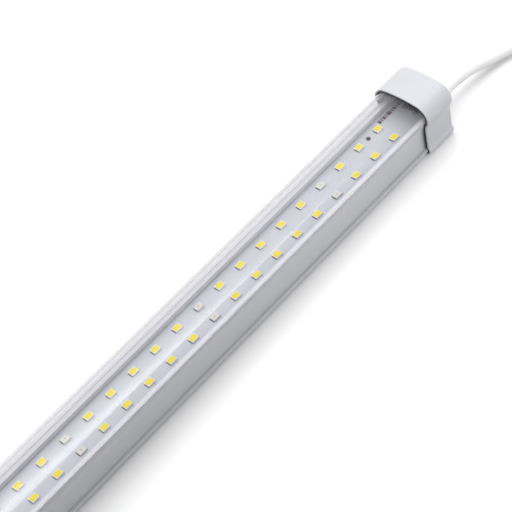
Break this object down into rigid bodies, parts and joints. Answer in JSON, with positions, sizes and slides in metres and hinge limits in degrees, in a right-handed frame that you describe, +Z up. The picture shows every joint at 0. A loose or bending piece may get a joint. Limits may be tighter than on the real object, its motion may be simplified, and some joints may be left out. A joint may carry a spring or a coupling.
{
  "type": "led light tube",
  "caption": "Slim LED light tube: a metal channel with rows of white and deep red LEDs under a clear cover, moulded end caps and a mains lead.",
  "frame": {"origin": "middle of the tube's footprint, on the surface that the end caps stand on", "axes": "+X along the tube towards the cord end, +Z up out of the lit face, +Y across"},
  "size_m": [1.4377, 0.0475, 0.0374],
  "materials": {
    "housing_metal": "satin extruded",
    "cover_clear": "clear polycarbonate",
    "cap_plastic": "fine moulded texture",
    "gasket_rubber": "matt",
    "screw_steel": "zinc plated",
    "lead_white": "satin flexible sheath",
    "board_white": "white solder mask",
    "led_white": "moulded package",
    "led_phosphor": "yellow phosphor under clear silicone",
    "led_clear": "clear silicone over a red die",
    "rivet_bronze": "dark lacquer",
    "solder": "bright solder",
    "driver_board": "green solder mask",
    "driver_film": "thin polyester film",
    "capacitor_sleeve": "shrink sleeve",
    "bobbin_plastic": "moulded",
    "ferrite": "sintered",
    "winding_copper": "enamelled wire",
    "chip_epoxy": "moulded epoxy",
    "fuse_body": "sleeved",
    "wire_insulation": "single-core insulation",
    "mains_insulation": "single-core insulation",
    "tie_strap": "hook-and-loop strap",
    "plug_plastic": "moulded",
    "blade_metal": "nickel plated"
  },
  "bodies": {
    "root": {"housing": "housing_metal", "cover": "cover_clear", "led_board": "board_white", "led_packages_white": "led_white", "led_packages_red": "led_white", "led_phosphor_windows": "led_phosphor", "led_clear_windows": "led_clear", "board_rivets": "rivet_bronze", "board_solder_joints": "solder", "cap_cord_end": "cap_plastic", "cap_far_end": "cap_plastic", "gasket_cord_end": "gasket_rubber", "gasket_far_end": "gasket_rubber", "cap_screws": "screw_steel", "cord_grommet": "lead_white", "mains_wires": "mains_insulation", "led_wires": "wire_insulation", "driver_board": "driver_board", "driver_insulating_film": "driver_film", "driver_capacitors": "capacitor_sleeve", "driver_choke_bobbin": "bobbin_plastic", "driver_choke_core": "ferrite", "driver_choke_winding": "winding_copper", "driver_controller": "chip_epoxy", "driver_rectifier": "chip_epoxy", "driver_fuse": "fuse_body", "lead_tube": "lead_white", "lead_hank": "lead_white", "lead_tail": "lead_white", "hank_tie": "tie_strap", "plug_relief": "plug_plastic", "plug_body": "plug_plastic", "plug_blades": "blade_metal"}
  },
  "joints": []
}
